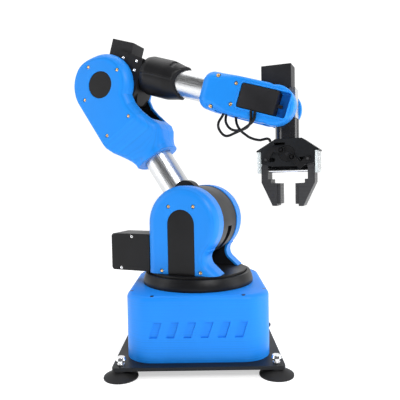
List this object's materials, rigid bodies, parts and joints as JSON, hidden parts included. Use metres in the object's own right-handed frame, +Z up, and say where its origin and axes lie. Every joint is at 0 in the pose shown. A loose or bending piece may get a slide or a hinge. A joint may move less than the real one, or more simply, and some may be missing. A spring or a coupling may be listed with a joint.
{
  "type": "desktop robot arm",
  "caption": "Desktop robot arm on a square suction-cup base: turning waist, leaning upper arm, forearm with roll, wrist pitch and tool roll, and a sliding two-jaw gripper.",
  "frame": {"origin": "centre of the footprint on the surface it stands on, under the waist axis", "axes": "+Z up along the waist axis; +X to the right side of the base, square to its plate; -Y to the front face with the engraved marks; the arm is stored turned 22 degrees clockwise from +X"},
  "size_m": [0.3167, 0.214, 0.4134],
  "materials": {
    "blue_shell": "printed, fine layer lines",
    "blue_base": "printed, fine layer lines",
    "black_plate": "powder coat",
    "black_plastic": "satin",
    "black_gloss": "smooth",
    "rubber": "matt",
    "tube_metal": "polished along its length",
    "bright_steel": "turned",
    "screw_steel": "domed",
    "screw_brass": "turned",
    "inlay_black": "smooth",
    "servo_black": "fine texture",
    "lead_black": "satin",
    "hand_silver": "satin",
    "clear_acrylic": "clear",
    "board_green": "solder mask",
    "switch_red": "smooth",
    "jaw_left_grey": "printed",
    "jaw_right_grey": "printed"
  },
  "bodies": {
    "base": {"base_plate": "black_plate", "suction_cups": "rubber", "cup_screws": "screw_steel", "base_housing": "blue_base", "housing_screws": "black_gloss", "base_ring": "black_plastic", "slewing_ring": "bright_steel", "waist_motor": "black_gloss", "waist_belt": "rubber", "controller_board": "board_green", "rear_panel": "black_plastic", "rear_connectors": "bright_steel"},
    "waist_pinion": {"waist_pinion": "bright_steel"},
    "power_switch": {"power_switch": "switch_red"},
    "front_button": {"front_button": "black_gloss"},
    "shoulder": {"turntable": "black_plastic", "waist_pulley": "tube_metal", "shoulder_cover_front": "blue_shell", "shoulder_cover_rear": "blue_shell", "cover_inlays": "inlay_black", "shoulder_screws": "screw_brass", "shoulder_plates": "black_plate", "motor_cover": "black_plastic", "shoulder_motor": "black_gloss", "shoulder_belt": "rubber"},
    "shoulder_pinion": {"shoulder_pinion": "bright_steel"},
    "upper_arm": {"shoulder_drum": "black_plastic", "shoulder_axle": "bright_steel", "upper_arm_tube": "tube_metal", "elbow_frame": "black_plate", "elbow_cover_front": "blue_shell", "elbow_cover_rear": "blue_shell", "elbow_caps": "black_plastic", "elbow_screws": "screw_brass", "elbow_motor": "black_gloss", "elbow_belt": "rubber"},
    "elbow_pinion": {"elbow_pinion": "bright_steel"},
    "elbow": {"elbow_axle": "bright_steel", "forearm_bracket": "black_plastic", "bracket_screws": "screw_steel", "roll_servo": "servo_black"},
    "forearm": {"forearm_socket": "black_plastic", "forearm_tube": "tube_metal", "wrist_housing": "blue_shell", "wrist_servo": "servo_black", "wrist_screws": "screw_brass", "servo_leads": "lead_black", "gripper_lead": "lead_black"},
    "hand": {"hand_bracket": "hand_silver", "tool_servo": "servo_black"},
    "tool": {"tool_flange": "black_gloss", "gripper_plates": "black_plate", "gripper_servo": "servo_black", "guide_rods": "bright_steel", "side_plates": "clear_acrylic"},
    "gripper_crank": {"gripper_crank": "black_plastic"},
    "jaw_left": {"jaw_left": "jaw_left_grey"},
    "jaw_right": {"jaw_right": "jaw_right_grey"},
    "link_left": {"link_left": "black_plastic"},
    "link_right": {"link_right": "black_plastic"}
  },
  "joints": [
    {"name": "waist", "type": "hinge", "parent": "base", "child": "shoulder", "pos_m": [0, 0, 0.1], "axis": [0, 0, 1], "range_deg": [-148, 192]},
    {"name": "waist_pinion_spin", "type": "hinge", "parent": "base", "child": "waist_pinion", "pos_m": [0, 0.058, 0.072], "axis": [0, 0, 1], "range_deg": [-911.77, 1182.54]},
    {"name": "power_switch_rock", "type": "hinge", "parent": "base", "child": "power_switch", "pos_m": [-0.0829, 0.0265, 0.034], "axis": [0, 0, 1], "range_deg": [-8, 8]},
    {"name": "front_button_press", "type": "slide", "parent": "base", "child": "front_button", "axis": [-1, 0, 0], "range_m": [0, 0.0012], "stiffness_N_per_m": 300},
    {"name": "shoulder_pitch", "type": "hinge", "parent": "shoulder", "child": "upper_arm", "pos_m": [0, 0, 0.1675], "axis": [0.3746, 0.9272, 0], "range_deg": [-1.4, 45]},
    {"name": "shoulder_pinion_spin", "type": "hinge", "parent": "shoulder", "child": "shoulder_pinion", "pos_m": [-0.07803, -0.01161, 0.129], "axis": [0.3746, 0.9272, 0], "range_deg": [-3.05, 66.77]},
    {"name": "elbow_pitch", "type": "hinge", "parent": "upper_arm", "child": "elbow", "pos_m": [-0.11109, 0.04488, 0.34783], "axis": [-0.3746, -0.9272, 0], "range_deg": [-12, 141]},
    {"name": "elbow_pinion_spin", "type": "hinge", "parent": "upper_arm", "child": "elbow_pinion", "pos_m": [-0.07252, 0.05842, 0.28177], "axis": [-0.3746, -0.9272, 0], "range_deg": [-41.62, 478.23]},
    {"name": "forearm_roll", "type": "hinge", "parent": "elbow", "child": "forearm", "pos_m": [-0.04965, 0.02006, 0.35828], "axis": [0.8838, -0.3571, -0.3024], "range_deg": [-120, 120]},
    {"name": "wrist_pitch", "type": "hinge", "parent": "forearm", "child": "hand", "pos_m": [0.09441, -0.03814, 0.309], "axis": [-0.3746, -0.9272, 0], "range_deg": [-37, 105], "deforming": ["gripper_lead"]},
    {"name": "tool_roll", "type": "hinge", "parent": "hand", "child": "tool", "pos_m": [0.11074, -0.04097, 0.291], "axis": [0, 0, 1], "range_deg": [-145, 145]},
    {"name": "jaw_left_slide", "type": "slide", "parent": "tool", "child": "jaw_left", "axis": [0.9272, -0.3746, 0], "range_m": [-0.0006, 0.0086]},
    {"name": "jaw_right_slide", "type": "slide", "parent": "tool", "child": "jaw_right", "axis": [-0.9272, 0.3746, 0], "range_m": [-0.0008, 0.0088]},
    {"name": "crank_turn", "type": "hinge", "parent": "tool", "child": "gripper_crank", "pos_m": [0.10641, -0.05755, 0.24949], "axis": [0.3746, 0.9272, 0], "range_deg": [-5.74, 68.94]},
    {"name": "link_left_swing", "type": "hinge", "parent": "jaw_left", "child": "link_left", "pos_m": [0.0837, -0.04838, 0.24249], "axis": [0.3746, 0.9272, 0], "range_deg": [-10.46, 1.66]},
    {"name": "link_right_swing", "type": "hinge", "parent": "jaw_right", "child": "link_right", "pos_m": [0.12913, -0.06673, 0.24249], "axis": [0.3746, 0.9272, 0], "range_deg": [-13.04, 1.84]}
  ],
  "couplings": [
    {"joint": "waist_pinion_spin", "follows": "waist", "ratio": 6.1539},
    {"joint": "shoulder_pinion_spin", "follows": "shoulder_pitch", "ratio": 1.4615},
    {"joint": "elbow_pinion_spin", "follows": "elbow_pitch", "ratio": 3.3846},
    {"joint": "jaw_right_slide", "follows": "jaw_left_slide", "ratio": 1},
    {"joint": "crank_turn", "follows": "jaw_left_slide", "rad_per_m": 137.88},
    {"joint": "link_left_swing", "follows": "jaw_left_slide", "rad_per_m": -19.199},
    {"joint": "link_right_swing", "follows": "jaw_left_slide", "rad_per_m": -24.435}
  ]
}
